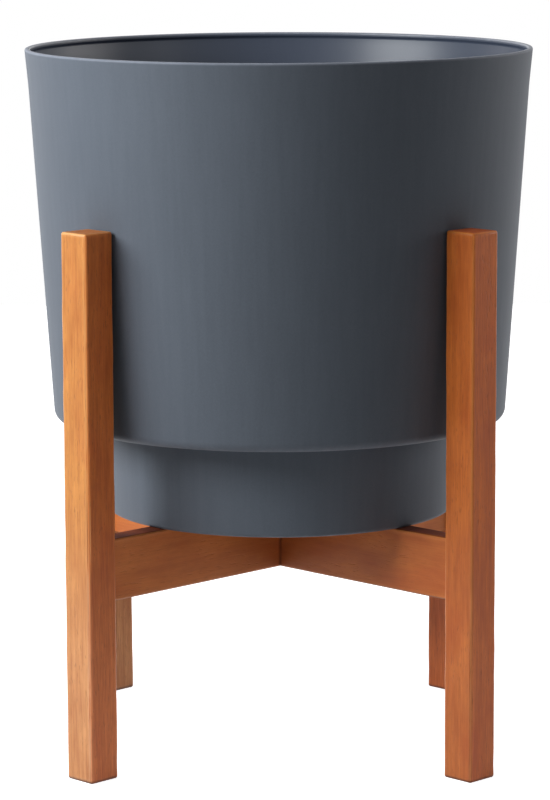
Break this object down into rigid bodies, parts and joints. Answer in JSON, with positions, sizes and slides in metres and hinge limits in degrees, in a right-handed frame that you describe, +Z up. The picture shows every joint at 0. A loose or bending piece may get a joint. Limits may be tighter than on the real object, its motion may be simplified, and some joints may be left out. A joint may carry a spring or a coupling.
{
  "type": "plant stand with planter pot",
  "caption": "Round tapered planter with a stepped foot, sitting on crossed rails between square wooden legs.",
  "frame": {"origin": "on the floor, under the middle of the crossed rails and of the pot", "axes": "+Z up; -Y is the front, from which the stand shows two legs edge on; +X to the right; the legs stand on the diagonals"},
  "size_m": [0.3117, 0.3118, 0.432],
  "materials": {
    "pot_plastic": "satin blue-grey",
    "plug_rubber": "matte black",
    "leg_wood": "satin orange-brown, grain along the leg",
    "rail_wood": "satin orange-brown, grain along the rail",
    "dowel_wood": "unfinished pale wood",
    "screw_steel": "zinc-plated"
  },
  "bodies": {
    "stand": {"leg_front_left": "leg_wood", "leg_front_right": "leg_wood", "leg_rear_left": "leg_wood", "leg_rear_right": "leg_wood", "rail_lower": "rail_wood", "rail_upper": "rail_wood", "lap_screw": "screw_steel", "dowel_rear_right_lower": "dowel_wood", "dowel_rear_right_upper": "dowel_wood", "dowel_rear_left_lower": "dowel_wood", "dowel_rear_left_upper": "dowel_wood", "dowel_front_left_lower": "dowel_wood", "dowel_front_left_upper": "dowel_wood", "dowel_front_right_lower": "dowel_wood", "dowel_front_right_upper": "dowel_wood"},
    "planter": {"pot": "pot_plastic"},
    "plug": {"drain_plug": "plug_rubber"}
  },
  "joints": [
    {"name": "pot_lift", "type": "slide", "parent": "stand", "child": "planter", "axis": [0, 0, 1], "range_m": [0, 0.2]},
    {"name": "plug_pull", "type": "slide", "parent": "planter", "child": "plug", "axis": [0, 0, 1], "range_m": [0, 0.3]}
  ]
}
